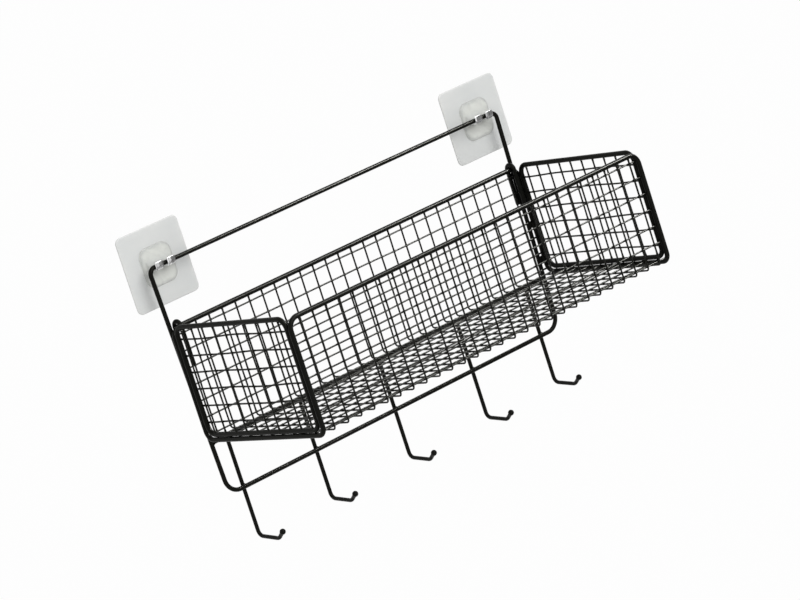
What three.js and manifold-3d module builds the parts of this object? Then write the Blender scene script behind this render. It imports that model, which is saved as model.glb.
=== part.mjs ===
// Wall-hung wire basket with a row of utensil hooks, carried by two adhesive wall hooks.
// Millimetres. The wall is the plane y = 0 and the basket stands out from it towards -Y.
// X runs along the wall, +Z is up, and z = 0 is the height of the hanger loop's top bar.

import * as THREE from 'three';
import { mergeVertices } from 'three/addons/utils/BufferGeometryUtils.js';
import Module from 'manifold-3d';

const wasm = await Module();
wasm.setup();

// Wires and fits
const clearance = 0.3; // gap left where pieces touch or are welded
const rimWire = 4; // main rim and side rims
const hangerWire = 3.6; // hanger loop, cross rail and rim clips
const hookWire = 3.2; // utensil hooks
const meshWire = 1.4;
const meshPitch = 13.6;
const meshBend = 1.6; // inside radius where the sheet turns under the basket

// Basket, measured between the centre lines of its rims
const basketWidth = 374;
const basketDepth = 146;
const basketHeight = 91;
const basketDrop = 48.6; // top bar down to the basket's upper rims
const baseLift = 1.2; // the sheet's base lies this far above the lower rims
const rimBend = 9; // upper corners of the main rim
const rimFootBend = 7; // its lower corners
const sideRimBend = 8;
const sideRimFootBend = 7;
const sideRimRise = 1.2; // the side rims stand this far above the main rim

// Hanger loop, measured between centre lines. Its top bar is as wide as the basket.
const hangerStandoff = 10; // wall to the loop
const hangerTaper = 10; // how much narrower the loop is at its bottom bar
const hangerHeight = 186.4;
const hangerTopBend = 5.5;
const hangerBottomBend = 12;

// Rim clips, bent over the back rim beside each upright
const clipHeadroom = 0.2; // between the back rim and the bend of the clip
const clipRearLeg = 34.4;
const clipFrontLeg = 36.4;
const clipPlay = 0.4; // either side of the back rim

// Utensil hooks, in a row along the bottom bar that is a little uneven, as set by hand
const hookEndInset = 17; // from the loop's upright to the row's end
const hookOffsets = [0, -5.5, -2, 2.5, -1]; // of each hook from its even place
const hookDrop = 41.5; // bottom bar to the hook's corner
const hookReach = 24; // corner to the upturned tip
const hookFall = 2.4; // fall of the arm over its reach
const hookTipReach = 7;
const hookTipRise = 5.4;
const hookCornerBend = 5;
const hookTipBend = 6;
const hookBall = 4.9;

// Adhesive wall hooks
const wallHookInset = 15; // from the loop's upright to the middle of the prongs
const padSide = 62;
const padCorner = 5;
const padBelowBar = 0.8; // how far the pad's middle lies below the top bar
const adhesiveMargin = 1.5; // the adhesive stops short of the film's edge
const adhesiveThickness = 0.5;
const filmThickness = 1;
const seatWidth = 31;
const seatHeight = 32;
const seatCorner = 8;
const seatThickness = 2.2;
const prongPlateThickness = 1.2;
const prongPlateRise = 5; // above the top bar's middle
const prongWidth = 7.8;
const prongGap = 4.2; // between the two prongs
const prongThickness = 1.4;
const prongTipRise = 3.6; // above the top bar's middle

// Facets
const wireSides = 8;
const bendSteps = 4;
const meshBendSteps = 2;
const cornerSegments = 4;
const sameKnot = 0.03; // points of a wire's centre line closer than this are one

// Places worked out from the sizes above
const hangerY = -hangerStandoff;
const backY = hangerY - (hangerWire + rimWire) / 2 - clearance;
const frontY = backY - basketDepth;
const topZ = -basketDrop;
const bottomZ = topZ - basketHeight;
const baseZ = bottomZ + baseLift;
const endX = basketWidth / 2;
const nest = rimWire + clearance; // centre distance of two rims side by side
const ringTop = topZ + sideRimRise;
const ringLow = bottomZ + nest;
const railZ = bottomZ - (rimWire + hangerWire) / 2 - clearance;
const uprightX = (z) => endX + (hangerTaper / 2) * (z / hangerHeight);

// Distance from a rim's centre line to where mesh wires meet it, at a depth into its corner bend.
function rimInside(bend, into) {
  const innerEdge = Math.sqrt((bend - rimWire / 2) ** 2 - Math.max(0, into) ** 2);
  return bend - innerEdge + clearance;
}
const meshReach = endX - rimInside(rimBend, 0);

const blackCoat = { color: 0x191a1a, roughness: 0.45, metalness: 0.35 };
const clearFilm = { color: 0xd4d8d8, roughness: 0.35, metalness: 0 };
const clearBlock = { color: 0xdcdfdf, roughness: 0.2, metalness: 0 };
const gel = { color: 0xc9cdce, roughness: 0.6, metalness: 0 };
const chrome = { color: 0xd9dadb, roughness: 0.12, metalness: 1 };

function addPiece(parent, name, geometry, finish) {
  const piece = new THREE.Mesh(geometry, new THREE.MeshStandardMaterial(finish));
  piece.name = name;
  parent.add(piece);
}

const at = (x, y, z) => new THREE.Vector3(x, y, z);

// The centre line of a bent wire: straight runs joined by round bends.
// Its parameter counts knots, so a tube along it has rings only where the wire turns.
class BentWire extends THREE.Curve {
  constructor(corners, bendRadii, closed = false) {
    super();
    this.closed = closed;
    this.knots = [];
    corners.forEach((corner, index) => {
      const isEnd = !closed && (index === 0 || index === corners.length - 1);
      const before = corners[(index + corners.length - 1) % corners.length];
      const after = corners[(index + 1) % corners.length];
      const bend = isEnd ? [corner] : roundedCorner(before, corner, after, bendRadii[index]);
      bend.filter((knot) => !this.knots.some((other) => other.distanceTo(knot) < sameKnot))
        .forEach((knot) => this.knots.push(knot));
    });
    this.runs = closed ? this.knots.length : this.knots.length - 1;
  }

  knot(index) {
    return this.knots[(index + this.knots.length) % this.knots.length];
  }

  getPoint(t, target = new THREE.Vector3()) {
    const run = Math.min(Math.floor(t * this.runs), this.runs - 1);
    return target.lerpVectors(this.knot(run), this.knot(run + 1), t * this.runs - run);
  }

  getPointAt(t, target) {
    return this.getPoint(t, target);
  }

  getTangentAt(t, target = new THREE.Vector3()) {
    const index = Math.round(t * this.runs);
    const ahead = this.knot(index + 1).clone().sub(this.knot(index)).normalize();
    const behind = this.knot(index).clone().sub(this.knot(index - 1)).normalize();
    if (!this.closed && index === 0) return target.copy(ahead);
    if (!this.closed && index === this.runs) return target.copy(behind);
    return target.addVectors(ahead, behind).normalize();
  }
}

function roundedCorner(before, corner, after, radius) {
  const back = before.clone().sub(corner).normalize();
  const forth = after.clone().sub(corner).normalize();
  const halfAngle = back.angleTo(forth) / 2;
  const start = corner.clone().addScaledVector(back, radius / Math.tan(halfAngle));
  const centre = back.clone().add(forth).setLength(radius / Math.sin(halfAngle)).add(corner);
  const axis = forth.clone().cross(back).normalize();
  const turn = Math.PI - 2 * halfAngle;
  return Array.from({ length: bendSteps + 1 }, (_, step) => start.clone().sub(centre)
    .applyAxisAngle(axis, (turn * step) / bendSteps).add(centre));
}

function roundSection(diameter) {
  const corners = Array.from({ length: wireSides }, (_, side) => {
    const angle = (2 * Math.PI * (side + 0.5)) / wireSides;
    return new THREE.Vector2(Math.cos(angle), Math.sin(angle)).multiplyScalar(diameter / 2);
  });
  return new THREE.Shape(corners);
}

function wireLoop(corners, bendRadii, diameter) {
  const path = new BentWire(corners, bendRadii, true);
  return bare(new THREE.TubeGeometry(path, path.runs, diameter / 2, wireSides, true));
}

function wireAlong(corners, bendRadii, diameter) {
  const path = new BentWire(corners, bendRadii);
  const options = { steps: path.runs, extrudePath: path, bevelEnabled: false };
  return bare(new THREE.ExtrudeGeometry(roundSection(diameter), options));
}

function bare(geometry) {
  geometry.deleteAttribute('normal');
  geometry.deleteAttribute('uv');
  return mergeVertices(geometry);
}

function solid(geometry) {
  const closed = bare(geometry);
  const vertProperties = new Float32Array(closed.attributes.position.array);
  const triVerts = new Uint32Array(closed.index.array);
  return new wasm.Manifold(new wasm.Mesh({ numProp: 3, vertProperties, triVerts }));
}

function geometryOf(body) {
  const mesh = body.getMesh();
  const geometry = new THREE.BufferGeometry();
  geometry.setAttribute('position', new THREE.BufferAttribute(mesh.vertProperties, 3));
  geometry.setIndex(new THREE.BufferAttribute(mesh.triVerts, 1));
  return geometry;
}

const joined = (geometries) => geometryOf(geometries.map(solid).reduce((whole, next) => whole.add(next)));

// A box given by its lower and upper corners.
function block(low, high) {
  const size = high.clone().sub(low);
  const middle = low.clone().add(high).multiplyScalar(0.5);
  return new THREE.BoxGeometry(size.x, size.y, size.z).translate(middle.x, middle.y, middle.z);
}

// Evenly pitched mesh wires, centred across a span between two rims.
function meshPlaces(span) {
  const count = Math.floor(span / meshPitch);
  return Array.from({ length: count }, (_, index) => (index - (count - 1) / 2) * meshPitch);
}

// Profile in the YZ plane drawn as a shape, extruded along X about the middle.
function alongX(shape, length) {
  const options = { depth: length, bevelEnabled: false, curveSegments: cornerSegments };
  const geometry = new THREE.ExtrudeGeometry(shape, options).translate(0, 0, -length / 2);
  return geometry.applyMatrix4(new THREE.Matrix4().makeBasis(at(0, 1, 0), at(0, 0, 1), at(1, 0, 0)));
}

const wallHooks = new THREE.Group();
const basket = new THREE.Group();

// Hanger loop and what is welded to it
function addHanger() {
  const corners = [0, -hangerHeight]
    .map((z) => [at(-uprightX(z), hangerY, z), at(uprightX(z), hangerY, z)]);
  const [top, bottom] = corners;
  const bends = [hangerTopBend, hangerTopBend, hangerBottomBend, hangerBottomBend];
  addPiece(basket, 'hanger_loop', wireLoop([...top, bottom[1], bottom[0]], bends, hangerWire), blackCoat);

  const railEnd = uprightX(railZ) - hangerWire / 2 - clearance;
  const rail = [at(-railEnd, hangerY, railZ), at(railEnd, hangerY, railZ)];
  addPiece(basket, 'cross_rail', wireAlong(rail, [], hangerWire), blackCoat);
}

// A clip lies along an upright, passes over the back rim and ends inside the basket.
function addRimClips() {
  const wireReach = (rimWire + hangerWire) / 2;
  const legSpread = wireReach + clipPlay;
  const bendZ = topZ + wireReach + clipHeadroom;
  const rearEndZ = bendZ - clipRearLeg;
  const neighbourX = Math.min(uprightX(rearEndZ), endX);
  const clipX = neighbourX - wireReach - clearance;
  for (const [side, name] of [[-1, 'left'], [1, 'right']]) {
    const x = side * clipX;
    const corners = [at(x, backY + legSpread, rearEndZ), at(x, backY + legSpread, bendZ),
      at(x, backY - legSpread, bendZ), at(x, backY - legSpread, bendZ - clipFrontLeg)];
    const bends = corners.map(() => legSpread);
    addPiece(basket, `rim_clip_${name}`, wireAlong(corners, bends, hangerWire), blackCoat);
  }
}

// Each hook hangs behind the cross rail and the bottom bar, and ends in an upturned ball tip.
function addUtensilHooks() {
  const shankY = hangerY + (hangerWire + hookWire) / 2 + clearance;
  const cornerZ = -hangerHeight - hookDrop;
  const tipZ = cornerZ - hookFall;
  const ballY = shankY - hookReach - hookTipReach;
  const rowEnd = uprightX(-hangerHeight) - hookEndInset;
  hookOffsets.forEach((offset, index) => {
    const x = THREE.MathUtils.lerp(-rowEnd, rowEnd, index / (hookOffsets.length - 1)) + offset;
    const ballAt = at(x, ballY, tipZ + hookTipRise);
    const corners = [at(x, shankY, railZ + hangerWire / 2), at(x, shankY, cornerZ),
      at(x, shankY - hookReach, tipZ), ballAt];
    const wire = wireAlong(corners, [0, hookCornerBend, hookTipBend, 0], hookWire);
    const ball = new THREE.SphereGeometry(hookBall / 2, wireSides, wireSides - 2)
      .translate(ballAt.x, ballAt.y, ballAt.z);
    addPiece(basket, `utensil_hook_${index + 1}`, joined([wire, ball]), blackCoat);
  });
}

// Main rim: one wire round the two long upper edges and down both ends of the bent sheet.
function addRims() {
  const endOutline = [[frontY, topZ], [frontY, bottomZ], [backY, bottomZ], [backY, topZ]];
  const rightEnd = endOutline.map(([y, z]) => at(endX, y, z));
  const leftEnd = endOutline.map(([y, z]) => at(-endX, y, z)).reverse();
  const corners = [...rightEnd, ...leftEnd];
  const bends = corners.map((corner) => (corner.z === bottomZ ? rimFootBend : rimBend));
  addPiece(basket, 'main_rim', wireLoop(corners, bends, rimWire), blackCoat);

  for (const [side, name] of [[-1, 'left'], [1, 'right']]) {
    const ring = [[frontY + nest, ringTop], [frontY + nest, ringLow],
      [backY - nest, ringLow], [backY - nest, ringTop]].map(([y, z]) => at(side * endX, y, z));
    const ringBends = ring.map((corner) => (corner.z === ringLow ? sideRimFootBend : sideRimBend));
    const rim = wireLoop(ring, ringBends, rimWire);
    addPiece(basket, `side_rim_${name}`, rim, blackCoat);
  }
}

// The bent sheet as three flat nets, split where its wires turn under the basket.
// Its cross wires lie inside and its long wires outside, welded face to face.
function addBentSheet() {
  const columns = meshPlaces(basketWidth);
  const lowestRow = baseZ + meshBend + meshWire / 2;
  const rowSpan = topZ - rimInside(rimBend, 0) - meshWire / 2 - lowestRow;
  const rowCount = 1 + Math.floor(rowSpan / meshPitch);
  const rows = Array.from({ length: rowCount }, (_, index) => lowestRow + index * meshPitch);
  const topEndAt = (x) => topZ - rimInside(rimBend, Math.abs(x) + meshWire / 2 - endX + rimBend);
  const sideEndAt = (z) => endX - rimInside(rimBend, z + meshWire / 2 - topZ + rimBend);

  // An upright wire with the turn at its foot, in a plane through the wall's normal.
  function uprightShape(faceY, inward, topEnd) {
    const outer = meshBend + meshWire;
    const centre = [faceY + inward * meshBend, baseZ + meshBend];
    const arc = (radius, step) => {
      const angle = (Math.PI / 2) * (step / meshBendSteps);
      return new THREE.Vector2(centre[0] - inward * radius * Math.cos(angle),
        centre[1] - radius * Math.sin(angle));
    };
    const steps = Array.from({ length: meshBendSteps + 1 }, (_, step) => step);
    const outline = [new THREE.Vector2(faceY - inward * meshWire, topEnd),
      ...steps.map((step) => arc(outer, step)),
      ...steps.reverse().map((step) => arc(meshBend, step)),
      new THREE.Vector2(faceY, topEnd)];
    return new THREE.Shape(outline);
  }

  for (const [name, faceY, inward] of [['mesh_front', frontY, 1], ['mesh_back', backY, -1]]) {
    const uprights = columns.map((x) => alongX(uprightShape(faceY, inward, topEndAt(x)), meshWire)
      .translate(x, 0, 0));
    const faces = [faceY, faceY + inward * meshWire].sort((a, b) => a - b);
    const crossWires = rows.map((z) => block(at(-sideEndAt(z), faces[0], z - meshWire / 2),
      at(sideEndAt(z), faces[1], z + meshWire / 2)));
    addPiece(basket, name, joined([...uprights, ...crossWires]), blackCoat);
  }

  const baseEnd = meshBend + clearance;
  const middleY = (frontY + backY) / 2;
  const baseLengths = columns.map((x) => block(at(x - meshWire / 2, frontY + baseEnd, baseZ - meshWire),
    at(x + meshWire / 2, backY - baseEnd, baseZ)));
  const baseCross = meshPlaces(basketDepth).map((offset) => block(
    at(-meshReach, middleY + offset - meshWire / 2, baseZ),
    at(meshReach, middleY + offset + meshWire / 2, baseZ + meshWire)));
  addPiece(basket, 'mesh_base', joined([...baseLengths, ...baseCross]), blackCoat);
}

// A flat net in each side rim, uprights outside.
function addSideNets() {
  const ringDepth = basketDepth - 2 * nest;
  const ringHeight = ringTop - ringLow;
  const middle = [(frontY + backY) / 2, (ringTop + ringLow) / 2];
  const bendAt = (z) => (z < 0 ? sideRimFootBend : sideRimBend);
  const halfDepthAt = (z) => ringDepth / 2
    - rimInside(bendAt(z), Math.abs(z) + meshWire / 2 - ringHeight / 2 + bendAt(z));
  const halfHeightAt = (y, bend) => ringHeight / 2
    - rimInside(bend, Math.abs(y) + meshWire / 2 - ringDepth / 2 + bend);
  for (const [side, name] of [[-1, 'left'], [1, 'right']]) {
    const outer = [endX * side, (endX + meshWire) * side].sort((a, b) => a - b);
    const inner = [(endX - meshWire) * side, endX * side].sort((a, b) => a - b);
    const uprights = meshPlaces(ringDepth).map((offset) => block(
      at(outer[0], middle[0] + offset - meshWire / 2, middle[1] - halfHeightAt(offset, sideRimFootBend)),
      at(outer[1], middle[0] + offset + meshWire / 2, middle[1] + halfHeightAt(offset, sideRimBend))));
    const rows = meshPlaces(ringHeight).map((offset) => block(
      at(inner[0], middle[0] - halfDepthAt(offset), middle[1] + offset - meshWire / 2),
      at(inner[1], middle[0] + halfDepthAt(offset), middle[1] + offset + meshWire / 2)));
    addPiece(basket, `mesh_side_${name}`, joined([...uprights, ...rows]), blackCoat);
  }
}

// A plate with rounded corners, standing on the wall between two distances from it.
function roundedPlate(width, height, corner, near, far) {
  const [w, h] = [width / 2, height / 2];
  const shape = new THREE.Shape();
  shape.absarc(w - corner, h - corner, corner, 0, Math.PI / 2);
  shape.absarc(corner - w, h - corner, corner, Math.PI / 2, Math.PI);
  shape.absarc(corner - w, corner - h, corner, Math.PI, 1.5 * Math.PI);
  shape.absarc(w - corner, corner - h, corner, 1.5 * Math.PI, 2 * Math.PI);
  const options = { depth: far - near, bevelEnabled: false, curveSegments: cornerSegments };
  return new THREE.ExtrudeGeometry(shape, options).rotateX(Math.PI / 2).translate(0, -near, 0);
}

// One prong in section: a run out of the seat under the top bar, then up in front of the bar.
function prongShape(rootY) {
  const inner = hangerWire / 2 + clearance;
  const outer = inner + prongThickness;
  const tipRadius = prongThickness / 2;
  const shape = new THREE.Shape();
  shape.moveTo(rootY, -outer);
  shape.lineTo(rootY, -inner);
  shape.absarc(hangerY, 0, inner, -Math.PI / 2, -Math.PI, true);
  shape.absarc(hangerY - inner - tipRadius, prongTipRise - tipRadius, tipRadius, 0, Math.PI, false);
  shape.absarc(hangerY, 0, outer, -Math.PI, -Math.PI / 2, false);
  return shape;
}

function addWallHooks() {
  const filmNear = adhesiveThickness + clearance;
  const seatNear = filmNear + filmThickness + clearance;
  const seatFar = seatNear + seatThickness;
  const plateFar = seatNear + prongPlateThickness;
  const plateLow = -hangerWire / 2 - clearance - prongThickness;
  const prongX = (prongGap + prongWidth) / 2;
  const plateWidth = prongGap + 2 * prongWidth;
  for (const [side, name] of [[-1, 'left'], [1, 'right']]) {
    const place = new THREE.Group();
    place.position.set(side * (endX - wallHookInset), 0, 0);
    wallHooks.add(place);

    const lowered = (geometry) => geometry.translate(0, 0, -padBelowBar);
    const gelSide = padSide - 2 * adhesiveMargin;
    const gelCorner = padCorner - adhesiveMargin;
    const adhesive = lowered(roundedPlate(gelSide, gelSide, gelCorner, 0, adhesiveThickness));
    addPiece(place, `adhesive_${name}`, bare(adhesive), gel);
    const film = lowered(roundedPlate(padSide, padSide, padCorner, filmNear, filmNear + filmThickness));
    addPiece(place, `wall_film_${name}`, bare(film), clearFilm);

    const plate = block(at(-plateWidth / 2, -plateFar, plateLow),
      at(plateWidth / 2, -seatNear, prongPlateRise));
    const prongs = [-1, 1].map((hand) => alongX(prongShape(-seatNear), prongWidth)
      .translate(hand * prongX, 0, 0));
    addPiece(place, `prong_hook_${name}`, joined([plate, ...prongs]), chrome);

    // The seat is cut round the plate and the prong roots, which leave it through its front.
    const seat = solid(lowered(roundedPlate(seatWidth, seatHeight, seatCorner, seatNear, seatFar)));
    const pocket = solid(block(
      at(-plateWidth / 2 - clearance, -plateFar - clearance, plateLow - clearance),
      at(plateWidth / 2 + clearance, 0, prongPlateRise + clearance)));
    const slots = [-1, 1].map((hand) => solid(block(
      at(hand * prongX - prongWidth / 2 - clearance, -seatFar - clearance, plateLow - clearance),
      at(hand * prongX + prongWidth / 2 + clearance, 0, -hangerWire / 2))));
    const cut = slots.reduce((body, slot) => body.subtract(slot), seat.subtract(pocket));
    addPiece(place, `hook_seat_${name}`, geometryOf(cut), clearBlock);
  }
}

addHanger();
addRimClips();
addUtensilHooks();
addRims();
addBentSheet();
addSideNets();
addWallHooks();

const model = new THREE.Group();
model.add(wallHooks, basket);

export default model;
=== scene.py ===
import bpy
import numpy as np
from mathutils import Matrix, Vector


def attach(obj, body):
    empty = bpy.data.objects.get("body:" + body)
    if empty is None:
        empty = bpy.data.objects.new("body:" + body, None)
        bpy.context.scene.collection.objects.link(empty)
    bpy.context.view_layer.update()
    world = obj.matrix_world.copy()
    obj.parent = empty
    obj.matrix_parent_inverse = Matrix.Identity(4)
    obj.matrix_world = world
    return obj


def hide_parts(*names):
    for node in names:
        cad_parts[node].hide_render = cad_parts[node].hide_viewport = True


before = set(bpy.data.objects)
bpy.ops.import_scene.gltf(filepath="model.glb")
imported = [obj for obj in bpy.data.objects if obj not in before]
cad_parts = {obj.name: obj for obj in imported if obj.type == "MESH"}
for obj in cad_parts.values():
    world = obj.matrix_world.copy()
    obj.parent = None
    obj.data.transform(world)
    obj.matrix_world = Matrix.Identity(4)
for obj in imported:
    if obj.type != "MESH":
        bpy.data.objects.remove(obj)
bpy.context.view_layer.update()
print("frame loaded,", len(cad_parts), "solids")

mm = 0.001  # pieces are worked out in millimetres and put into the mesh in metres
hands = (("left", -1), ("right", 1))
leastStep = 0.06  # rings that lie closer than this along a wire are merged
lean = np.array([0.36, 0.48, 0.80])  # no wire runs this way, so round sections start square to it


def unit(v):
    return v / np.linalg.norm(v, axis=-1, keepdims=True)


# straight runs joined by arcs: an arc of radius r starts r / tan(half the corner's angle) before
# the corner and turns about the point r / sin(half angle) along the corner's bisector
def bentPath(corners, bends, closed=False, turns=10):
    corners = np.asarray(corners, float)
    runs = []
    for k in range(len(corners)):
        if not closed and k in (0, len(corners) - 1):
            runs.append(corners[k][None])
            continue
        back = unit(corners[k - 1] - corners[k])
        forth = unit(corners[(k + 1) % len(corners)] - corners[k])
        half = np.arccos(np.clip(back @ forth, -1, 1)) / 2
        centre = corners[k] + unit(back + forth) * bends[k] / np.sin(half)
        start = corners[k] + back * bends[k] / np.tan(half) - centre
        turn = np.linspace(0, np.pi - 2 * half, turns + 1)[:, None]
        runs.append(centre + start * np.cos(turn) - back * bends[k] * np.sin(turn))
    path = np.concatenate(runs)
    return np.concatenate([path, path[:1]]) if closed else path


# running length at each knot of a path: the sum of the steps before it
def lengthAlong(path):
    steps = np.linalg.norm(np.diff(path, axis=0), axis=1)
    return np.concatenate([[0], np.cumsum(steps)])


# points at given lengths along a path, on the straight lines between its knots
def pointsAt(path, places):
    along = lengthAlong(path)
    return np.stack([np.interp(places, along, path[:, k]) for k in range(3)], -1)


# the same steps before and after a spot
def eitherSide(steps):
    return np.outer((-1, 1), steps).ravel()


# ring places along a wire: its own knots, even steps between them, and extra ones near given spots
def ringPlaces(path, step, spots=(), near=(0.0,)):
    along = lengthAlong(path)
    even = np.linspace(0, along[-1], int(along[-1] / step) + 2)
    extra = (np.asarray(spots, float)[:, None] + np.asarray(near)[None]).ravel()
    extra = extra[(extra > 0) & (extra < along[-1])]
    places = np.sort(np.concatenate([along, even, extra]))
    keep = np.concatenate([[True], np.diff(places) > leastStep])
    keep[-1] = True
    if keep.sum() > 2 and places[-1] - places[keep][-2] < leastStep:
        keep[np.flatnonzero(keep)[-2]] = False
    return places[keep]


# wires as round sections carried along their paths, many wires of one length at once:
# path(i) + radius(i) (cos a side(i) + sin a up(i)), side = along x lean, up = along x side
def carryRound(paths, radii, sides, closed=False):
    paths = np.asarray(paths, float)
    paths = paths[None] if paths.ndim == 2 else paths
    if closed:
        paths = paths[:, :-1]
        along = unit(np.roll(paths, -1, 1) - np.roll(paths, 1, 1))
    else:
        along = unit(np.gradient(paths, axis=1))
    wires, rings = paths.shape[:2]
    radii = np.broadcast_to(np.asarray(radii, float)[..., :rings], (wires, rings))
    side = unit(np.cross(along, lean))
    up = np.cross(along, side)
    angle = np.linspace(0, 2 * np.pi, sides, endpoint=False)
    ring = np.cos(angle)[:, None] * side[:, :, None] + np.sin(angle)[:, None] * up[:, :, None]
    points = (paths[:, :, None] + radii[:, :, None, None] * ring).reshape(-1, 3)
    index = np.arange(wires * rings * sides).reshape(wires, rings, sides)
    ahead = np.roll(index, -1, 1) if closed else index[:, 1:]
    here = index if closed else index[:, :-1]
    quads = np.stack([here, np.roll(here, -1, 2), np.roll(ahead, -1, 2), ahead], -1).reshape(-1, 4)
    if closed:
        return points, quads
    first, last = index[:, 0], index[:, -1]
    poles = len(points) + np.arange(2 * wires).reshape(2, wires, 1)
    poles = np.broadcast_to(poles, (2, wires, sides))
    caps = np.concatenate([np.stack([poles[0], np.roll(first, -1, 1), first], -1).reshape(-1, 3),
                           np.stack([poles[1], last, np.roll(last, -1, 1)], -1).reshape(-1, 3)])
    return np.concatenate([points, paths[:, 0], paths[:, -1]]), quads, caps


# a stack of closed rings, each the same number of points, closed by a pole at either end
def stackRings(rings):
    count, sides = rings.shape[:2]
    index = np.arange(count * sides).reshape(count, sides)
    here, ahead = index[:-1], index[1:]
    quads = np.stack([here, np.roll(here, -1, 1), np.roll(ahead, -1, 1), ahead], -1).reshape(-1, 4)
    points = rings.reshape(-1, 3)
    low, high = len(points), len(points) + 1
    first, last = index[0], index[-1]
    caps = np.concatenate([np.stack([np.full(sides, low), np.roll(first, -1), first], -1),
                           np.stack([np.full(sides, high), last, np.roll(last, -1)], -1)])
    poles = [rings[0].mean(0)[None], rings[-1].mean(0)[None]]
    return np.concatenate([points, *poles]), quads, caps


# rounded rectangle seen from the room: four quarter circles about the inset corner points
def roundedOutline(halfWidth, halfHeight, corner, perCorner):
    quarter = np.linspace(0, np.pi / 2, perCorner)
    angle = np.concatenate([quarter + k * np.pi / 2 for k in range(4)])
    signX = np.repeat([1, -1, -1, 1], perCorner)
    signZ = np.repeat([1, 1, -1, -1], perCorner)
    return np.stack([signX * (halfWidth - corner) + corner * np.cos(angle),
                     signZ * (halfHeight - corner) + corner * np.sin(angle)], -1)


# a moulded plate: a stack of rounded rectangles, one for each row; a row is the inset from the
# outline (one number, or one each for width and height), the corner radius, the distance from the
# wall, and how far the finish takes that ring as an edge
def mouldedPlate(x, z, halves, rows, perCorner):
    loops = []
    for inset, corner, out, _ in rows:
        halfWidth, halfHeight = np.array(halves) - inset
        flat = roundedOutline(halfWidth, halfHeight, corner, perCorner)
        loops.append(np.stack([x + flat[:, 0], np.full(len(flat), -out), z + flat[:, 1]], -1))
    return stackRings(np.array(loops))


# the rows' edge values for every point of such a plate, with its two poles last
def edgeNumbers(rows, perCorner):
    edges = [row[-1] for row in rows]
    return np.concatenate([np.repeat(edges, 4 * perCorner), [edges[0], edges[-1]]])


def addPiece(name, surfaces, look, body, slot, *nodes, edges=None):
    points, faces, start = [], [], 0
    for surface in surfaces:
        points.append(surface[0])
        for group in surface[1:]:
            faces.extend((group + start).tolist())
        start += len(surface[0])
    mesh = bpy.data.meshes.new(name)
    mesh.from_pydata((np.concatenate(points) * mm).tolist(), [], faces)
    mesh.shade_smooth()
    mesh.materials.append(look)
    if edges is not None:  # kept as a UV map, which the finish reads
        corner = np.empty(len(mesh.loops), np.int32)
        mesh.loops.foreach_get("vertex_index", corner)
        layer = mesh.uv_layers.new(name="edge")
        layer.data.foreach_set("uv", np.repeat(edges[corner], 2).astype(np.float32))
    mesh.validate()
    piece = bpy.data.objects.new(name, mesh)
    bpy.context.scene.collection.objects.link(piece)
    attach(piece, body)
    if nodes:
        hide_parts(*nodes)
    return piece


class Signal:
    def __init__(self, tree, socket=None):
        self.tree, self.socket = tree, socket

    # any node: its type, its settings first, then values or links for its sockets
    def node(self, kind, settings=None, inputs=None, out=0):
        made = self.tree.nodes.new(kind)
        for key, value in (settings or {}).items():
            setattr(made, key, value)
        for key, value in (inputs or {}).items():
            if isinstance(value, Signal):
                self.tree.links.new(value.socket, made.inputs[key])
            else:
                made.inputs[key].default_value = value
        return Signal(self.tree, made.outputs[out] if made.outputs else None)

    def maths(self, operation, first, second):
        return self.node("ShaderNodeMath", {"operation": operation}, {0: first, 1: second})

    def __add__(self, other):
        return self.maths("ADD", self, other)

    __radd__ = __add__

    def __mul__(self, other):
        return self.maths("MULTIPLY", self, other)

    __rmul__ = __mul__

    def __sub__(self, other):
        return self.maths("SUBTRACT", self, other)

    def __rsub__(self, other):
        return self.maths("SUBTRACT", other, self)

    def clamped(self):
        return self.node("ShaderNodeClamp", {}, {"Value": self})

    # a grain is about a half on average, so this is how far it lifts or lowers a value
    def swing(self, share):
        return (self - 0.5) * share

    # this signal as the factor from one colour to another; a Mix node's colours go by number
    def shades(self, dark, light):
        dark, light = [end if isinstance(end, Signal) else (*end, 1) for end in (dark, light)]
        return self.node("ShaderNodeMix", {"data_type": "RGBA"},
                         {0: self.clamped(), 6: dark, 7: light}, 2)

    def place(self):
        return self.node("ShaderNodeTexCoord", out="Object")

    # the place with its axes stretched, so that a grain is drawn out along the small ones
    def drawnPlace(self, scale, turn=(0.0, 0.0, 0.0)):
        return self.node("ShaderNodeMapping", {},
                         {"Vector": self.place(), "Rotation": turn, "Scale": scale})

    def edge(self):
        numbers = self.node("ShaderNodeUVMap", {"uv_map": "edge"})
        return self.node("ShaderNodeSeparateXYZ", {}, {0: numbers})

    def grain(self, scale, detail, rough=0.5, place=None):
        return self.node("ShaderNodeTexNoise", {}, {"Vector": place or self.place(), "Scale": scale,
                                                    "Detail": detail, "Roughness": rough})

    def bump(self, height, strength, depth):
        return self.node("ShaderNodeBump", {},
                         {"Strength": strength, "Distance": depth, "Height": height})


def emptyTree(block):
    block.use_nodes = True
    block.node_tree.nodes.clear()
    return Signal(block.node_tree)


def newLook(name):
    look = bpy.data.materials.new(name)
    return look, emptyTree(look)


def finishLook(s, inputs):
    surface = s.node("ShaderNodeBsdfPrincipled", {}, inputs)
    s.node("ShaderNodeOutputMaterial", {}, {"Surface": surface})


# in the finishes a grain is its scale and detail, and driftGloss is how far drift changes the gloss
blackCoat = {"dark": (0.0026, 0.0027, 0.0021), "light": (0.0062, 0.0063, 0.0052),
             "drift": (28.0, 3.0), "peel": (1500.0, 2.0), "speck": (6500.0, 1.0),
             "shade": 0.5, "driftShade": 0.7, "speckShade": 0.6,
             "gloss": 0.31, "driftGloss": 0.10, "speckGloss": 0.08,
             "frameShine": 0.07, "netShine": 0.14, "shineTint": (1.0, 1.0, 0.90),
             "speckHeight": 0.25, "bump": 0.18, "bumpDepth": 0.00005}


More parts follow.
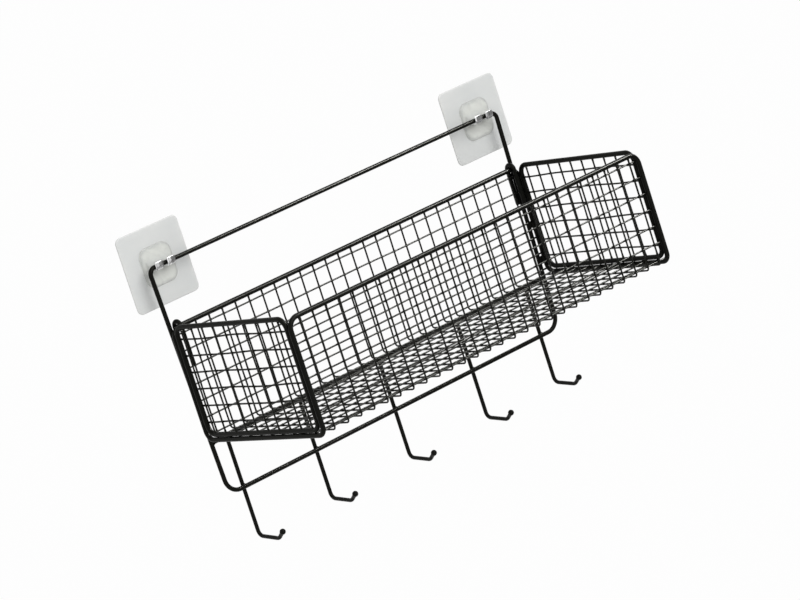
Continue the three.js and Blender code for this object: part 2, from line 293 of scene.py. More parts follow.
# satin powder coat: slow shade drift, orange peel and a finer speckle in both shade and gloss
def makeBlackCoat(name, shine):
    c = blackCoat
    look, s = newLook(name)
    drift, peel, speck = s.grain(*c["drift"]), s.grain(*c["peel"]), s.grain(*c["speck"])
    shade = c["shade"] + drift.swing(c["driftShade"]) + speck.swing(c["speckShade"])
    gloss = c["gloss"] + drift.swing(c["driftGloss"]) + speck.swing(c["speckGloss"])
    height = peel + speck * c["speckHeight"]
    finishLook(s, {"Base Color": shade.shades(c["dark"], c["light"]),
                   "Roughness": gloss, "Metallic": 0.0,
                   "Specular IOR Level": shine, "Specular Tint": (*c["shineTint"], 1),
                   "Normal": s.bump(height, c["bump"], c["bumpDepth"])})
    return look


filmTone = {"dark": (0.625, 0.646, 0.645), "light": (0.712, 0.713, 0.694),
            "cloud": (22.0, 3.0), "frost": (5200.0, 2.0), "crease": (130.0, 4.0, 0.6),
            "creaseDraw": (0.22, 1.0, 1.0), "creaseTurn": (0.0, 0.25, 0.0),
            "shade": 0.45, "cloudShade": 0.8, "creaseShade": 0.5, "frostShade": 0.3,
            "edgeShade": 0.35, "gloss": 0.36, "frostGloss": 0.16, "shine": 0.4,
            "alpha": 0.86, "cloudAlpha": 0.1, "edgeAlpha": 0.06,
            "cloudHeight": 2.0, "creaseHeight": 3.0, "bump": 0.14, "bumpDepth": 0.00008}


# frosted film: cloudy shade, a few drawn-out creases, a fine matt grain and a paler cut edge
def makeFrostedFilm():
    c = filmTone
    look, s = newLook("frosted_film")
    cloud, frost, edge = s.grain(*c["cloud"]), s.grain(*c["frost"]), s.edge()
    crease = s.grain(*c["crease"], s.drawnPlace(c["creaseDraw"], c["creaseTurn"]))
    shade = (c["shade"] + cloud.swing(c["cloudShade"]) + crease.swing(c["creaseShade"])
             + frost.swing(c["frostShade"]) + edge * c["edgeShade"])
    alpha = c["alpha"] + cloud.swing(c["cloudAlpha"]) + edge * c["edgeAlpha"]
    height = frost + cloud * c["cloudHeight"] + crease * c["creaseHeight"]
    finishLook(s, {"Base Color": shade.shades(c["dark"], c["light"]),
                   "Roughness": c["gloss"] + frost.swing(c["frostGloss"]),
                   "Alpha": alpha.clamped(), "Specular IOR Level": c["shine"],
                   "Normal": s.bump(height, c["bump"], c["bumpDepth"])})
    return look


seatTone = {"dark": (0.38, 0.39, 0.38), "light": (0.72, 0.73, 0.69), "haze": (90.0, 3.0),
            "flow": {"Scale": 60.0, "Distortion": 9.0, "Detail": 2.0, "Detail Scale": 1.5},
            "shade": 1.0, "edgeShade": 0.85, "flowPaintedShade": 0.20, "hazeShade": 0.15,
            "gloss": 0.31, "hazeGloss": 0.12, "shine": 0.35,
            "alpha": 0.42, "hazeAlpha": 0.12, "edgeAlpha": 0.20, "bump": 0.18, "bumpDepth": 0.0002}


# clear moulded seat: see-through faces; painted shade darkens its rounded edges and makes them
# denser, standing in for the dark outline that refraction draws there, and faint wave bands paint
# refraction marks
def makeClearSeat():
    c = seatTone
    look, s = newLook("clear_seat")
    edge, haze = s.edge(), s.grain(*c["haze"])
    flow = s.node("ShaderNodeTexWave", {"wave_type": "BANDS", "bands_direction": "DIAGONAL"},
                  {"Vector": s.place(), **c["flow"]}, 1)
    # painted shade: the edge numbers and the wave bands darken the colour where refraction would
    # show dark lines
    shade = c["shade"] - edge * c["edgeShade"] - flow * c["flowPaintedShade"] + haze * c["hazeShade"]
    alpha = c["alpha"] + haze.swing(c["hazeAlpha"]) + edge * c["edgeAlpha"]
    finishLook(s, {"Base Color": shade.shades(c["dark"], c["light"]),
                   "Roughness": c["gloss"] + haze.swing(c["hazeGloss"]),
                   "Alpha": alpha.clamped(), "Specular IOR Level": c["shine"],
                   "Normal": s.bump(flow + haze, c["bump"], c["bumpDepth"])})
    return look


gelTone = {"dark": (0.60, 0.62, 0.62), "light": (0.72, 0.73, 0.72), "cloud": (35.0, 3.0),
           "bubbleScale": 420.0, "bubbleSize": 0.22, "bubbleEdge": 9.0,
           "shade": 0.4, "cloudShade": 0.8, "spotShade": 0.5, "gloss": 0.575, "cloudGloss": 0.15,
           "alpha": 0.55, "cloudAlpha": 0.1, "spotAlpha": 0.2,
           "spotHeight": 0.4, "bump": 0.2, "bumpDepth": 0.0003}


# tacky gel: cloudy, with small trapped bubbles that show paler
def makeGel():
    c = gelTone
    look, s = newLook("adhesive_gel")
    cloud = s.grain(*c["cloud"])
    bubble = s.node("ShaderNodeTexVoronoi", {"feature": "F1"},
                    {"Vector": s.place(), "Scale": c["bubbleScale"], "Randomness": 1.0})
    spot = ((c["bubbleSize"] - bubble) * c["bubbleEdge"]).clamped()
    shade = c["shade"] + cloud.swing(c["cloudShade"]) + spot * c["spotShade"]
    alpha = c["alpha"] + cloud.swing(c["cloudAlpha"]) - spot * c["spotAlpha"]
    finishLook(s, {"Base Color": shade.shades(c["dark"], c["light"]),
                   "Roughness": c["gloss"] + cloud.swing(c["cloudGloss"]),
                   "Alpha": alpha.clamped(),
                   "Normal": s.bump(cloud - spot * c["spotHeight"], c["bump"], c["bumpDepth"])})
    return look


prongTone = {"dark": (0.30, 0.30, 0.305), "light": (0.92, 0.92, 0.92), "plate": (0.55, 0.56, 0.555),
             "streak": (760.0, 2.0), "streakDraw": (1.0, 0.06, 0.06), "smudge": (210.0, 2.0),
             "shade": 0.7, "streakPaintedReflection": 3.0, "smudgeShade": 0.4,
             "gloss": 0.14, "streakGloss": 0.08, "smudgeGloss": 0.08, "plateGloss": 0.45,
             "seatFace": 0.0042, "faceEdge": 2500.0, "bump": 0.10, "bumpDepth": 0.00003}


# bright-drawn strip: streaks along the strip, which runs out from the wall and up, roughen it a
# little and paint strong light and dark reflection bands into its colour; the plate in the seat,
# which is nearer the wall than the seat's face, is dull
def makeProngMetal():
    c = prongTone
    look, s = newLook("bright_prong")
    streak = s.grain(*c["streak"], place=s.drawnPlace(c["streakDraw"]))
    smudge = s.grain(*c["smudge"])
    depth = s.node("ShaderNodeSeparateXYZ", {}, {0: s.place()}, "Y")
    buried = ((depth + c["seatFace"]) * c["faceEdge"]).clamped()
    # painted reflection: the streaks swing the metal's colour between dark and light bands
    metal = c["shade"] + streak.swing(c["streakPaintedReflection"]) + smudge.swing(c["smudgeShade"])
    gloss = (c["gloss"] + streak.swing(c["streakGloss"]) + smudge.swing(c["smudgeGloss"])
             + buried * c["plateGloss"])
    finishLook(s, {"Base Color": buried.shades(metal.shades(c["dark"], c["light"]), c["plate"]),
                   "Metallic": 1.0 - buried, "Roughness": gloss,
                   "Normal": s.bump(streak, c["bump"], c["bumpDepth"])})
    return look


coatLook = makeBlackCoat("satin_black_coat", blackCoat["frameShine"])
netLook = makeBlackCoat("satin_black_net_coat", blackCoat["netShine"])
filmLook = makeFrostedFilm()
seatLook = makeClearSeat()
gelLook = makeGel()
prongLook = makeProngMetal()
print("finishes made")


# what all wires of the frame share; cut is the length over which a wire's end is rounded off
wireForm = {"closedStep": 5.0, "closedTurns": 12, "openStep": 4.0, "coatShare": 0.012,
            "coatWaves": (23.0, 9.0, 4.1), "cut": 0.9, "cutShare": 0.86,
            "cutRings": (0.15, 0.35, 0.6, 0.9)}


def addWires(name, surfaces, *nodes, look=coatLook):
    addPiece(name, surfaces, look, "basket", "black_coat", *nodes)


# coat thickness drifts a little along a wire: radius (1 + the mean of three sines of the length)
def coated(radius, along, seed):
    phase = np.random.default_rng(seed).uniform(0, 2 * np.pi, 3)
    waves = np.sin(along[:, None] / np.array(wireForm["coatWaves"]) + phase).sum(1)
    return radius * (1 + wireForm["coatShare"] * waves / 3)


# share of the radius that is left near a cut end: a quarter ellipse of the distance from it
def cutEnd(distance):
    left = np.clip(1 - distance / wireForm["cut"], 0, 1)
    return np.sqrt(1 - (wireForm["cutShare"] * left) ** 2)


# a round section carried along a bent path that comes back to its start
def closedWire(corners, bends, radius, sides, seed):
    path = bentPath(corners, bends, True, wireForm["closedTurns"])
    places = ringPlaces(path, wireForm["closedStep"])
    return carryRound(pointsAt(path, places), coated(radius, places, seed), sides, True)


# a round section carried along a bent path with two cut ends
def openWire(corners, bends, radius, sides, seed):
    path = bentPath(corners, bends)
    length = lengthAlong(path)[-1]
    near = eitherSide(wireForm["cutRings"])
    places = ringPlaces(path, wireForm["openStep"], [0.0, length], near)
    radii = coated(radius, places, seed) * cutEnd(np.minimum(places, length - places))
    return carryRound(pointsAt(path, places), radii, sides)


loopForm = {"y": -10.0, "topX": 187.0, "bottomX": 182.0, "bottomZ": -186.4, "radius": 1.8,
            "topBend": 5.5, "bottomBend": 12.0, "sides": 20, "seed": 1}


# an upright's place at a height: it leans in evenly from the top bar down to the bottom bar
def uprightX(z):
    f = loopForm
    return f["topX"] + (f["topX"] - f["bottomX"]) * z / -f["bottomZ"]


# hanger loop: four corners in one plane, joined by arcs
def makeLoop():
    f = loopForm
    y, top, bottom, low = f["y"], f["topX"], f["bottomX"], f["bottomZ"]
    corners = [(-top, y, 0), (top, y, 0), (bottom, y, low), (-bottom, y, low)]
    bends = [f["topBend"]] * 2 + [f["bottomBend"]] * 2
    wire = closedWire(corners, bends, f["radius"], f["sides"], f["seed"])
    addWires("hanger_loop_wire", [wire], "hanger_loop")


railForm = {"z": -143.7, "radius": 1.8, "into": 0.5, "sides": 20, "seed": 2}


# cross rail: a straight wire that ends a little inside either upright
def makeRail():
    f = railForm
    end = uprightX(f["z"]) - loopForm["radius"] + f["into"]
    corners = [(-end, loopForm["y"], f["z"]), (end, loopForm["y"], f["z"])]
    wire = openWire(corners, [0, 0], f["radius"], f["sides"], f["seed"])
    addWires("cross_rail_wire", [wire], "cross_rail")


basketForm = {"endX": 187.0, "frontY": -160.1, "backY": -14.1, "topZ": -48.6, "bottomZ": -139.6,
              "baseZ": -138.4, "rimRadius": 2.0, "rimBend": 9.0, "rimFootBend": 7.0,
              "ringTop": -47.4, "ringBend": 8.0, "ringFootBend": 7.0, "nest": 4.3,
              "sides": 20, "rimSeed": 5, "ringSeed": 7}


# main rim: the outline of an end at both ends, joined along the long upper edges;
# side rings: the same outline closed, and nested inside it
def makeRims():
    f = basketForm
    front, back, high, low = f["frontY"], f["backY"], f["topZ"], f["bottomZ"]
    outline = [(front, high), (front, low), (back, low), (back, high)]
    corners = ([(f["endX"], y, z) for y, z in outline]
               + [(-f["endX"], y, z) for y, z in outline[::-1]])
    top, foot = f["rimBend"], f["rimFootBend"]
    bends = [top, foot, foot, top] * 2
    wire = closedWire(corners, bends, f["rimRadius"], f["sides"], f["rimSeed"])
    addWires("main_rim_wire", [wire], "main_rim")
    front, back, high, low = front + f["nest"], back - f["nest"], f["ringTop"], low + f["nest"]
    top, foot = f["ringBend"], f["ringFootBend"]
    bends = [top, foot, foot, top]
    for hand, side in hands:
        x = side * f["endX"]
        ring = [(x, front, high), (x, front, low), (x, back, low), (x, back, high)]
        wire = closedWire(ring, bends, f["rimRadius"], f["sides"], f["ringSeed"] + side)
        addWires(f"side_rim_{hand}_wire", [wire], f"side_rim_{hand}")


# spread is from the back rim's middle to the middle of either leg
clipForm = {"x": 180.78, "spread": 4.2, "bendZ": -44.6, "rearEndZ": -79.0, "frontEndZ": -81.0,
            "radius": 1.8, "sides": 20, "seed": 3}


# rim clip: an upside-down U over the back rim, its two legs joined by quarter circles
def makeClips():
    f = clipForm
    rear, front = basketForm["backY"] + f["spread"], basketForm["backY"] - f["spread"]
    for hand, side in hands:
        x, bend = side * f["x"], f["bendZ"]
        corners = [(x, rear, f["rearEndZ"]), (x, rear, bend), (x, front, bend),
                   (x, front, f["frontEndZ"])]
        bends = [f["spread"]] * 4
        wire = openWire(corners, bends, f["radius"], f["sides"], f["seed"] + side)
        addWires(f"rim_clip_{hand}_wire", [wire], f"rim_clip_{hand}")


# the wire stops at ballEnd of the ball's radius, and ballArc is what its ring angles leave out
hookForm = {"x": (-165.0, -88.0, -2.0, 85.0, 164.0), "shankY": -6.3, "topZ": -141.9,
            "cornerZ": -227.9, "reach": 24.0, "fall": 2.4, "tipReach": 7.0, "tipRise": 5.4,
            "cornerBend": 5.0, "tipBend": 6.0, "radius": 1.6, "ball": 2.45, "ballEnd": 0.995,
            "ballArc": (0.1, 0.75), "ballRings": 14, "leastTip": 0.12, "sides": 18, "seed": 20}


# hook: bent wire whose radius near the end is the larger of the wire's own and the ball's, which is
# sqrt(ball^2 - distance^2)
def makeHooks():
    f = hookForm
    y, armY, armZ = f["shankY"], f["shankY"] - f["reach"], f["cornerZ"] - f["fall"]
    past = f["ball"] * f["ballEnd"]
    angles = np.linspace(f["ballArc"][0], np.pi - f["ballArc"][1], f["ballRings"])
    bends = [0, f["cornerBend"], f["tipBend"], 0]
    for k, x in enumerate(f["x"]):
        tip = np.array([x, armY - f["tipReach"], armZ + f["tipRise"]])
        out = unit(tip - np.array([x, armY, armZ]))
        corners = [(x, y, f["topZ"]), (x, y, f["cornerZ"]), (x, armY, armZ), tip + out * past]
        path = bentPath(corners, bends)
        middle = lengthAlong(path)[-1] - past
        places = ringPlaces(path, wireForm["openStep"], [middle], np.cos(angles) * f["ball"])
        radii = coated(f["radius"], places, f["seed"] + k) * cutEnd(places)
        ball = np.sqrt(np.clip(f["ball"] ** 2 - (places - middle) ** 2, 0, None))
        tipRadii = np.maximum(ball, f["leastTip"])
        radii = np.where(places > middle, tipRadii, np.maximum(radii, ball))
        wire = carryRound(pointsAt(path, places), radii, f["sides"])
        addWires(f"utensil_hook_{k + 1}_wire", [wire], f"utensil_hook_{k + 1}")


# layer is half the step between crossing wires, into is how far a wire runs into its rim, and
# faceReach is how far from a face a bent wire still counts as on it
netForm = {"pitch": 13.6, "radius": 0.70, "layer": 0.55, "bend": 2.2, "bendTurns": 6, "into": 1.2,
           "rowFoot": 2.3, "rowHead": 3.1, "faceReach": 1.0, "sides": 8, "step": 4.6,
           "weldRings": (0.35, 1.0, 1.9), "swell": 0.18, "swellReach": 1.1,
           "flare": 0.40, "flareReach": 1.3, "sheetSway": 0.28, "sideSway": 0.62,
           "swayWaves": (11.0, 24.0), "swayMix": (0.6, 1.0), "swayHold": 0.35, "swayLeast": 0.4,
           "sheetSeed": 31, "frontSeed": 32, "backSeed": 33, "baseSeed": 34,
           "sideUprightSeed": 41, "sideLevelSeed": 44}


# as many evenly pitched places as fit in a span, centred on zero
def pitched(span):
    count = int(span / netForm["pitch"])
    return (np.arange(count) - (count - 1) / 2) * netForm["pitch"]


# wire radius: swollen by a bell curve at every weld, and flared where it runs into a rim
def weldedRadius(along, welds):
    n = netForm
    bells = np.exp(-((along[:, None] - np.asarray(welds)[None]) / n["swellReach"]) ** 2).sum(1)
    inside = np.minimum(along, along[-1] - along) - n["into"]
    flare = np.exp(-(np.clip(inside, 0, None) / n["flareReach"]) ** 2)
    return n["radius"] * (1 + n["swell"] * np.clip(bells, 0, 1) + n["flare"] * flare)


# sway: each wire wanders in its net's plane by two sines of its length, with phases and an amount
# of its own, least at its ends
def swayed(along, wires, amount, seed):
    n = netForm
    dice = np.random.default_rng(seed)
    phase = dice.uniform(0, 2 * np.pi, (2, wires, 1))
    short, long = [mix * np.sin(along / wave + turn)
                   for wave, mix, turn in zip(n["swayWaves"], n["swayMix"], phase)]
    hold = np.sin(np.pi * np.clip(along / along[-1], 0, 1)) ** n["swayHold"]
    return amount * (short + long) * hold * dice.uniform(n["swayLeast"], 1.0, (wires, 1))


# a row of like wires: one path, shifted along an axis to each place and swayed along the same axis
def netWires(path, axis, shifts, welds, sway, seed):
    spots = np.concatenate([welds, [netForm["into"]]])
    places = ringPlaces(path, netForm["step"], spots, eitherSide(netForm["weldRings"]))
    line = pointsAt(path, places)
    paths = np.broadcast_to(line, (len(shifts), *line.shape)).copy()
    paths[:, :, axis] += np.asarray(shifts)[:, None] + swayed(places, len(shifts), sway, seed)
    return carryRound(paths, weldedRadius(places, welds), netForm["sides"])


# lengths along a path where it comes nearest to each level of one axis, on the stretch pick allows
def crossings(path, axis, levels, pick, step=0.1):
    along = np.arange(0, lengthAlong(path)[-1], step)
    points = pointsAt(path, along)
    allowed = pick(points)
    along, heights = along[allowed], points[allowed, axis]
    return np.array([along[np.argmin(np.abs(heights - level))] for level in levels])


# bent sheet: U wires down the front, under and up the back, with straight cross wires inside them
def makeSheet():
    f, n = basketForm, netForm
    layer, into, near, sway = n["layer"], n["into"], n["faceReach"], n["sheetSway"]
    columns = pitched(2 * f["endX"])
    rows = np.arange(f["baseZ"] + n["rowFoot"], f["topZ"] - n["rowHead"], n["pitch"])
    depths = (f["frontY"] + f["backY"]) / 2 + pitched(f["backY"] - f["frontY"])
    top, low = f["topZ"] - f["rimRadius"] + into, f["baseZ"] - layer
    front, back = f["frontY"] - layer, f["backY"] + layer
    corners = [(0, front, top), (0, front, low), (0, back, low), (0, back, top)]
    path = bentPath(corners, [0, n["bend"], n["bend"], 0], turns=n["bendTurns"])
    welds = np.concatenate([crossings(path, 2, rows, lambda p: p[:, 1] < f["frontY"] + near),
                            crossings(path, 1, depths, lambda p: p[:, 2] < f["bottomZ"] + near),
                            crossings(path, 2, rows, lambda p: p[:, 1] > f["backY"] - near)])
    surfaces = [netWires(path, 0, columns, welds, sway, n["sheetSeed"])]
    end = f["endX"] - f["rimRadius"] + into
    for axis, y, z, shifts, seed in ((2, f["frontY"] + layer, 0.0, rows, n["frontSeed"]),
                                     (2, f["backY"] - layer, 0.0, rows, n["backSeed"]),
                                     (1, 0.0, f["baseZ"] + layer, depths, n["baseSeed"])):
        path = np.array([(-end, y, z), (end, y, z)])
        surfaces.append(netWires(path, axis, shifts, columns + end, sway, seed))
    nodes = ("mesh_front", "mesh_base", "mesh_back")
    addWires("bent_sheet_net", surfaces, *nodes, look=netLook)


# side nets: uprights outside the ring's plane and level wires inside it, both centred in the ring
def makeSideNets():
    f, n = basketForm, netForm
    layer, inner = n["layer"], f["rimRadius"] - n["into"]
    front, back = f["frontY"] + f["nest"], f["backY"] - f["nest"]
    low, high = f["bottomZ"] + f["nest"], f["ringTop"]
    depths = (front + back) / 2 + pitched(back - front)
    rows = (low + high) / 2 + pitched(high - low)
    for hand, side in hands:
        x, seed = side * (f["endX"] + layer), n["sideUprightSeed"] + side
        path = np.array([(x, 0.0, low + inner), (x, 0.0, high - inner)])
        uprights = netWires(path, 1, depths, rows - low - inner, n["sheetSway"], seed)
        x, seed = side * (f["endX"] - layer), n["sideLevelSeed"] + side
        path = np.array([(x, front + inner, 0.0), (x, back - inner, 0.0)])
        level = netWires(path, 2, rows, depths - front - inner, n["sideSway"], seed)
        addWires(f"side_net_{hand}", [uprights, level], f"mesh_side_{hand}", look=netLook)


# sizes are half lengths in x, y and z; clipIn and railIn are how far inside an upright's middle
# those welds lie
weldForm = {"hookSize": (2.3, 1.2, 2.1),
            "uprightZ": (-66.0, -98.0, -128.0), "uprightSize": (1.7, 1.0, 3.0),
            "clipZ": (-55.0, -73.0), "clipIn": 2.1, "clipSize": (0.9, 1.5, 2.6),
            "railIn": 2.0, "railSize": (1.2, 2.25, 2.25),
            "postZ": (-64.0, -124.0), "postSize": (1.5, 0.9, 3.0),
            "footY": (-42.0, -132.0), "footSize": (1.5, 3.0, 0.9),
            "sides": 14, "rings": 9, "poleGap": 0.25, "ripple": 0.07, "lumps": (3, 2), "seed": 51}


# a middle and a size for every place where two wires of the frame touch
def weldSpots():
    f, h, w = basketForm, hookForm, weldForm
    loopY, rail, nest = loopForm["y"], railForm["z"], f["nest"] / 2
    behind = (loopY + loopForm["radius"] + h["shankY"] - h["radius"]) / 2
    between = (loopY + f["backY"]) / 2
    spots = [((x, behind, z), w["hookSize"]) for x in h["x"] for z in (rail, loopForm["bottomZ"])]
    for _, side in hands:
        end = side * f["endX"]
        for z in w["uprightZ"]:
            spots.append(((side * (uprightX(z) + f["endX"]) / 2, between, z), w["uprightSize"]))
        for z in w["clipZ"]:
            spots.append(((side * (uprightX(z) - w["clipIn"]), loopY, z), w["clipSize"]))
        spots.append(((side * (uprightX(rail) - w["railIn"]), loopY, rail), w["railSize"]))
        for z in w["postZ"]:
            spots.append(((end, f["frontY"] + nest, z), w["postSize"]))
            spots.append(((end, f["backY"] - nest, z), w["postSize"]))
        for y in w["footY"]:
            spots.append(((end, y, f["bottomZ"] + nest), w["footSize"]))
    return spots


# welds: lumpy ellipsoids, middle + size (sin v cos u, sin v sin u, cos v) (1 + ripple), where the
# ripple is a sine of u times a sine of v
def makeWelds():
    w = weldForm
    u = np.linspace(0, 2 * np.pi, w["sides"], endpoint=False)
    v = np.linspace(w["poleGap"], np.pi - w["poleGap"], w["rings"])[::-1]
    ball = np.stack([np.sin(v)[:, None] * np.cos(u), np.sin(v)[:, None] * np.sin(u),
                     np.cos(v)[:, None] * np.ones_like(u)], -1)
    dice = np.random.default_rng(w["seed"])
    lumpsRound, lumpsAlong = w["lumps"]
    surfaces = []
    for middle, size in weldSpots():
        turn = dice.uniform(0, 2 * np.pi, 2)
        lumps = np.sin(lumpsRound * u + turn[0]) * np.sin(lumpsAlong * v + turn[1])[:, None]
        swelling = (1 + w["ripple"] * lumps)[..., None]
        surfaces.append(stackRings(np.array(middle) + ball * swelling * np.array(size)))
    addWires("frame_welds", surfaces)


makeLoop()
makeRail()
makeClips()
makeHooks()
makeRims()
print("frame wires made")
makeSheet()
makeSideNets()
makeWelds()
print("nets and welds made")


padForm = {"x": 172.0, "z": -0.8, "perCorner": 12,
           "filmHalves": (31.0, 31.0), "gelHalves": (29.5, 29.5),
           "film": ((14.0, 2.0, 0.8, 0.0), (0.35, 4.65, 0.8, 0.2), (0.06, 4.94, 0.98, 0.8),
                    (0.0, 5.0, 1.3, 1.0), (0.08, 4.92, 1.58, 1.0), (0.35, 4.65, 1.76, 0.7),
                    (1.1, 3.9, 1.8, 0.25), (5.0, 4.0, 1.8, 0.0), (12.0, 2.5, 1.8, 0.0),
                    (20.0, 1.5, 1.8, 0.0)),
           "gel": ((14.0, 2.0, 0.0, 0.0), (0.3, 3.2, 0.0, 0.0), (0.0, 3.5, 0.18, 0.0),
                   (0.1, 3.4, 0.45, 0.0), (0.6, 2.9, 0.5, 0.0), (15.0, 2.0, 0.5, 0.0))}


# pads: moulded plates, a thin film with a rolled edge over a smaller and thinner layer of gel
def makePads():
    p = padForm
    z, perCorner = p["z"], p["perCorner"]
    for hand, side in hands:
        x = side * p["x"]
        film = mouldedPlate(x, z, p["filmHalves"], p["film"], perCorner)
        addPiece(f"film_{hand}", [film], filmLook, "wall_hooks", "clear_film",
                 f"wall_film_{hand}", edges=edgeNumbers(p["film"], perCorner))
        gel = mouldedPlate(x, z, p["gelHalves"], p["gel"], perCorner)
        addPiece(f"gel_{hand}", [gel], gelLook, "wall_hooks", "gel_adhesive", f"adhesive_{hand}")


# the last number of a row is how much painted shade the seat's finish lays on that ring, the dark
# outline of its rounded edge
seatForm = {"halves": (15.5, 16.0), "perCorner": 12,
            "rows": (((6.5, 7.0), 3.0, 2.1, 0.0), (0.5, 7.5, 2.1, 0.1), (0.1, 7.9, 2.3, 0.3),
                     (0.0, 8.0, 2.6, 0.4), (0.1, 7.9, 3.0, 0.5), (0.4, 7.6, 3.4, 0.85),
                     (1.0, 7.0, 3.78, 1.0), (1.9, 6.4, 4.06, 0.7), (3.1, 5.8, 4.22, 0.2),
                     (4.7, 5.0, 4.3, 0.0), (7.5, 4.0, 4.3, 0.0), (11.0, 2.2, 4.3, 0.0))}


# seat: a moulded plate, low and with a soft edge
def makeSeats():
    f = seatForm
    edges = edgeNumbers(f["rows"], f["perCorner"])
    for hand, side in hands:
        x = side * padForm["x"]
        seat = mouldedPlate(x, padForm["z"], f["halves"], f["rows"], f["perCorner"])
        piece = addPiece(f"seat_{hand}", [seat], seatLook, "wall_hooks", "clear_seat",
                         f"hook_seat_{hand}", edges=edges)
        piece.visible_shadow = False  # clear plastic throws next to none


prongForm = {"rootY": -2.2, "offset": 6.0, "width": 7.8, "thickness": 1.4, "innerRadius": 2.1,
             "tipZ": 3.6, "bendTurns": 14, "step": 1.2,
             "tipRings": (0.02, 0.08, 0.2, 0.35, 0.55, 0.8, 1.1, 1.5),
             "sides": 40, "widthPower": 0.85, "thicknessPower": 0.75,
             "noseReach": 0.7, "noseShare": 0.97, "narrowReach": 1.6, "narrowShare": 0.16,
             "plateHalves": (9.9, 4.25), "plateZ": 0.75, "perCorner": 6,
             "plate": ((3.0, 0.3, 2.1, 0.0), (0.2, 0.8, 2.1, 0.0), (0.0, 1.0, 2.3, 0.0),
                       (0.0, 1.0, 3.1, 0.0), (0.2, 0.8, 3.3, 0.0), (3.0, 0.3, 3.3, 0.0))}


# prong: a flat round-edged strip carried along a path that runs out under the bar and turns up in
# front of it; section(a) = (half width |cos a|^e sign, half thickness |sin a|^e sign), narrowed to
# a round nose at the tip
def makeProngs():
    p = prongForm
    y, under = loopForm["y"], p["innerRadius"] + p["thickness"] / 2
    corners = [(0, p["rootY"], -under), (0, y - under, -under), (0, y - under, p["tipZ"])]
    path = bentPath(corners, [0, under, 0], turns=p["bendTurns"])
    length = lengthAlong(path)[-1]
    places = ringPlaces(path, p["step"], [length], -np.array(p["tipRings"]))
    line = pointsAt(path, places)
    sideways = np.array([1.0, 0.0, 0.0])
    normal = np.cross(unit(np.gradient(line, axis=0)), sideways)
    angle = np.linspace(0, 2 * np.pi, p["sides"], endpoint=False)
    across = np.sign(np.cos(angle)) * np.abs(np.cos(angle)) ** p["widthPower"]
    deep = np.sign(np.sin(angle)) * np.abs(np.sin(angle)) ** p["thicknessPower"]
    nose = np.clip(1 - (length - places) / p["noseReach"], 0, 1)
    nose = np.sqrt(1 - (p["noseShare"] * nose) ** 2)
    narrow = np.clip(1 - (length - places) / p["narrowReach"], 0, 1)
    narrow = 1 - p["narrowShare"] * narrow ** 2
    strip = (line[:, None] + (narrow * p["width"] / 2)[:, None, None] * across[:, None] * sideways
             + (nose * p["thickness"] / 2)[:, None, None] * deep[:, None] * normal[:, None])
    for hand, side in hands:
        x = side * padForm["x"]
        surfaces = [mouldedPlate(x, p["plateZ"], p["plateHalves"], p["plate"], p["perCorner"])]
        for offset in (-p["offset"], p["offset"]):
            surfaces.append(stackRings(strip + np.array([x + offset, 0, 0])))
        addPiece(f"prongs_{hand}", surfaces, prongLook, "wall_hooks", "chrome_prong",
                 f"prong_hook_{hand}")


makePads()
makeSeats()
makeProngs()
print("wall hooks made")


# in metres and radians; litShare is how much of the floor's own light and shade shows to the eye
stageForm = {"floorZ": -0.62, "floorHalf": 14.0, "floorTone": (0.80, 0.80, 0.80), "litShare": 0.06,
             "skyLight": 0.58,
             "softFrom": (0.30, -0.77, 0.55), "softStrength": 2.2, "softAngle": 1.0,
             "stripAt": (1.56, -1.14, 1.03), "stripSides": (0.3, 0.7), "stripPower": 138.0,
             "stripLit": ("main_rim_wire", "side_rim_left_wire", "side_rim_right_wire",
                          "bent_sheet_net", "side_net_left", "side_net_right", "frame_welds"),
             "spotAt": (1.15, -0.95, 0.95), "spotRadius": 0.12, "spotCone": 0.16,
             "spotSoftness": 0.25, "spotPower": 400.0, "spotLit": ("hanger_loop_wire",),
             "cardEnds": ((0.99, -1.90), (2.20, 0.40)), "cardFoot": ((0.08, -0.43), (0.60, 0.30)),
             "cardRise": (-0.60, 0.50), "cardTone": (0.34, 0.34, 0.34)}


# one for what the eye sees, straight or by way of a mirror or glass, and nothing for light itself
def seenDirectly(s):
    straight, mirrored, through = [
        s.node("ShaderNodeLightPath", out=ray)
        for ray in ("Is Camera Ray", "Is Glossy Ray", "Is Transmission Ray")]
    return (straight + mirrored + through).clamped()


def addStage(name, corners, faces, look):
    mesh = bpy.data.meshes.new(name)
    mesh.from_pydata(corners, [], faces)
    mesh.materials.append(look)
    backdrop = bpy.data.objects.new(name, mesh)
    bpy.context.scene.collection.objects.link(backdrop)
    return backdrop


# one large square, pale to the light and nearly white to the eye
def makeFloor():
    half, z = stageForm["floorHalf"], stageForm["floorZ"]
    look, s = newLook("pale_floor")
    lit = s.node("ShaderNodeBsdfDiffuse", {}, {"Color": (*stageForm["floorTone"], 1)})
    white = s.node("ShaderNodeEmission", {}, {"Color": (1, 1, 1, 1), "Strength": 1.0})
    share = seenDirectly(s) * (1 - stageForm["litShare"])
    mixed = s.node("ShaderNodeMixShader", {}, {0: share, 1: lit, 2: white})
    s.node("ShaderNodeOutputMaterial", {}, {"Surface": mixed})
    corners = [(-half, -half, z), (half, -half, z), (half, half, z), (-half, half, z)]
    addStage("floor", corners, [(0, 1, 2, 3)], look)


# white to the eye and weaker as a light
def makeSky():
    world = bpy.data.worlds.new("studio")
    bpy.context.scene.world = world
    s = emptyTree(world)
    strength = stageForm["skyLight"] + seenDirectly(s) * (1 - stageForm["skyLight"])
    sky = s.node("ShaderNodeBackground", {}, {"Color": (1, 1, 1, 1), "Strength": strength})
    s.node("ShaderNodeOutputWorld", {}, {"Surface": sky})


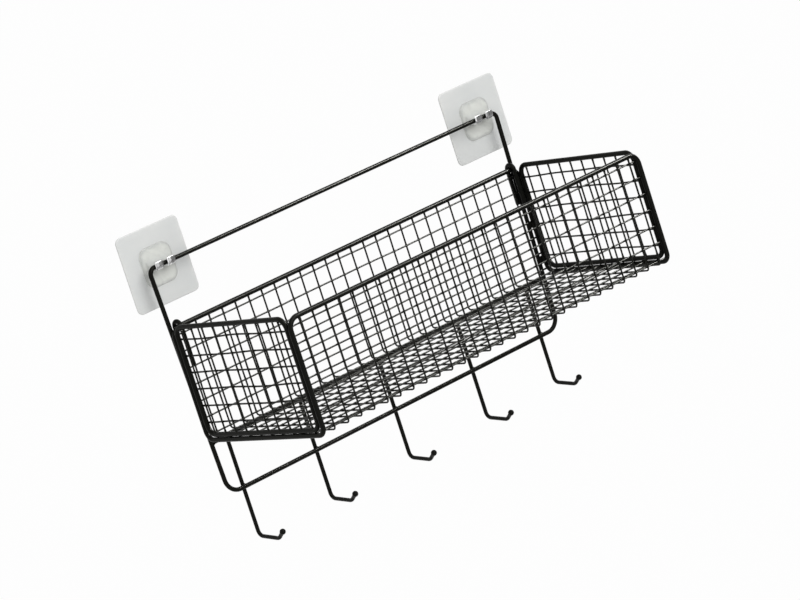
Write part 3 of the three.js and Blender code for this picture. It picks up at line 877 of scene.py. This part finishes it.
# a lamp that faces the origin; one with a list of pieces only draws highlights on those
def addLamp(light, place, pieces=()):
    lamp = bpy.data.objects.new(light.name, light)
    lamp.location = place
    lamp.rotation_euler = Vector(place).to_track_quat("Z", "Y").to_euler()
    lamp.visible_camera = False
    lamp.visible_diffuse = not pieces
    bpy.context.scene.collection.objects.link(lamp)
    if pieces:
        group = bpy.data.collections.new(light.name + "_lit")
        for name in pieces:
            group.objects.link(bpy.data.objects[name])
        lamp.light_linking.receiver_collection = group


# a wide soft key, a strip box for the highlight along the rims and nets, and a narrow spot for the
# one along the top bar
def makeLamps():
    f = stageForm
    soft = bpy.data.lights.new("soft_key", "SUN")
    soft.energy, soft.angle = f["softStrength"], f["softAngle"]
    addLamp(soft, f["softFrom"])
    strip = bpy.data.lights.new("strip_box", "AREA")
    strip.energy, strip.shape = f["stripPower"], "RECTANGLE"
    strip.size, strip.size_y = f["stripSides"]
    addLamp(strip, f["stripAt"], f["stripLit"])
    spot = bpy.data.lights.new("bar_spot", "SPOT")
    spot.energy, spot.shadow_soft_size = f["spotPower"], f["spotRadius"]
    spot.spot_size, spot.spot_blend = f["spotCone"], f["spotSoftness"]
    addLamp(spot, f["spotAt"], f["spotLit"])


# bent dark card to the right, seen only in reflections, so that bright metal has a thing to mirror
def makeCard():
    (near, far), (nearFoot, farFoot) = stageForm["cardEnds"], stageForm["cardFoot"]
    low, high = stageForm["cardRise"]
    look, s = newLook("card_black")
    dark = s.node("ShaderNodeBsdfDiffuse", {}, {"Color": (*stageForm["cardTone"], 1)})
    s.node("ShaderNodeOutputMaterial", {}, {"Surface": dark})
    corners = [(*near, low), (*far, low), (*far, high), (*near, high),
               (*nearFoot, low), (*farFoot, low)]
    card = addStage("dark_card", corners, [(0, 1, 2, 3), (0, 4, 5, 1)], look)
    card.visible_camera = card.visible_diffuse = False
    card.visible_shadow = card.visible_transmission = False


cameraForm = {"place": (-1.95028, -2.58238, 0.49471), "azimuth": -37.6458, "elevation": 10.4973,
              "roll": -17.9701, "lens": 186.226, "sensor": 36.0}


# forward comes from azimuth and elevation, and right is the level direction rolled about it
def makeCamera():
    c = cameraForm
    turn, rise, roll = np.radians([c["azimuth"], c["elevation"], c["roll"]])
    level = np.array([np.cos(turn), np.sin(turn), 0.0])
    ahead = np.array([-np.sin(turn), np.cos(turn), 0.0])
    forward = ahead * np.cos(rise) - np.array([0.0, 0.0, np.sin(rise)])
    right = level * np.cos(roll) + np.cross(level, forward) * np.sin(roll)
    up = np.cross(right, forward)
    data = bpy.data.cameras.new("camera")
    data.sensor_fit, data.sensor_width, data.lens = "HORIZONTAL", c["sensor"], c["lens"]
    camera = bpy.data.objects.new("camera", data)
    axes = Matrix(np.stack([right, up, -forward], 1).tolist())
    camera.matrix_world = Matrix.Translation(c["place"]) @ axes.to_4x4()
    bpy.context.scene.collection.objects.link(camera)
    bpy.context.scene.camera = camera


makeFloor()
makeSky()
makeLamps()
makeCard()
bpy.context.scene.view_settings.view_transform = "Standard"
makeCamera()
print("stage, light and camera made")
